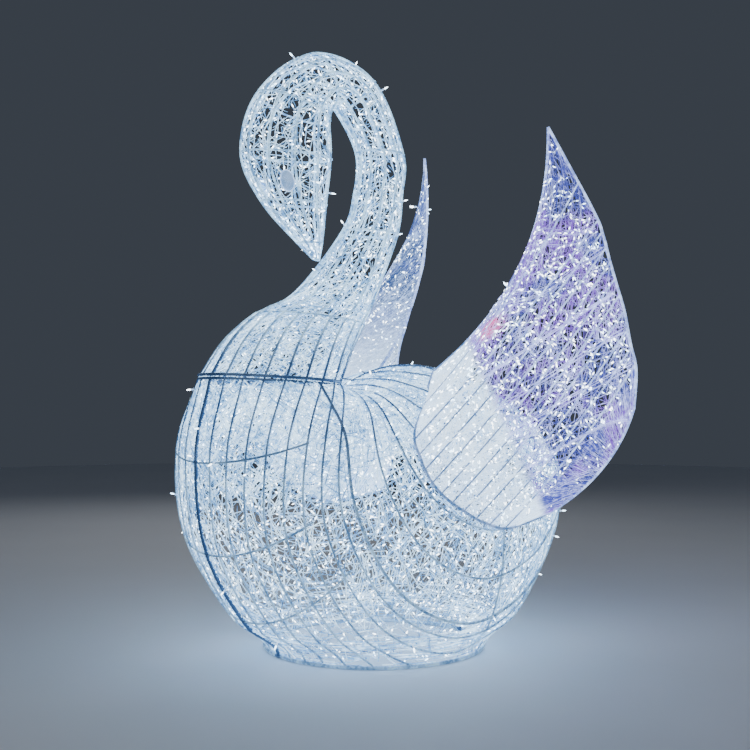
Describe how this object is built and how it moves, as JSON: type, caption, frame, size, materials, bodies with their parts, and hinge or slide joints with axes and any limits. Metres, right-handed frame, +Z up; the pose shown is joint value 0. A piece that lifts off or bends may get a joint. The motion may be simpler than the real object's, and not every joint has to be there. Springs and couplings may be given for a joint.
{
  "type": "lighted swan display",
  "caption": "Lighted garden swan: a rod frame wound with glowing thread net, arched neck and bowed head, two raised ribbed wings and an open round base.",
  "frame": {"origin": "middle of the base ring's underside, on the ground", "axes": "+Z up; the swan looks along -X and its left side is -Y"},
  "size_m": [1.3536, 1.361, 1.9932],
  "materials": {
    "rod": "round bar, lightly weathered satin",
    "ice_net": "clear and white thread glowing ice white",
    "violet_net": "clear and white thread glowing blue and violet",
    "blue_net": "clear and white thread glowing pale blue",
    "eye_plate": "smooth pale blue plate"
  },
  "bodies": {
    "root": {"neck_frame": "rod", "neck_net": "ice_net", "body_frame": "rod", "body_net": "ice_net", "wing_left_frame": "rod", "wing_left_net": "violet_net", "wing_right_frame": "rod", "wing_right_net": "blue_net", "eye_left": "eye_plate", "eye_right": "eye_plate"}
  },
  "joints": []
}
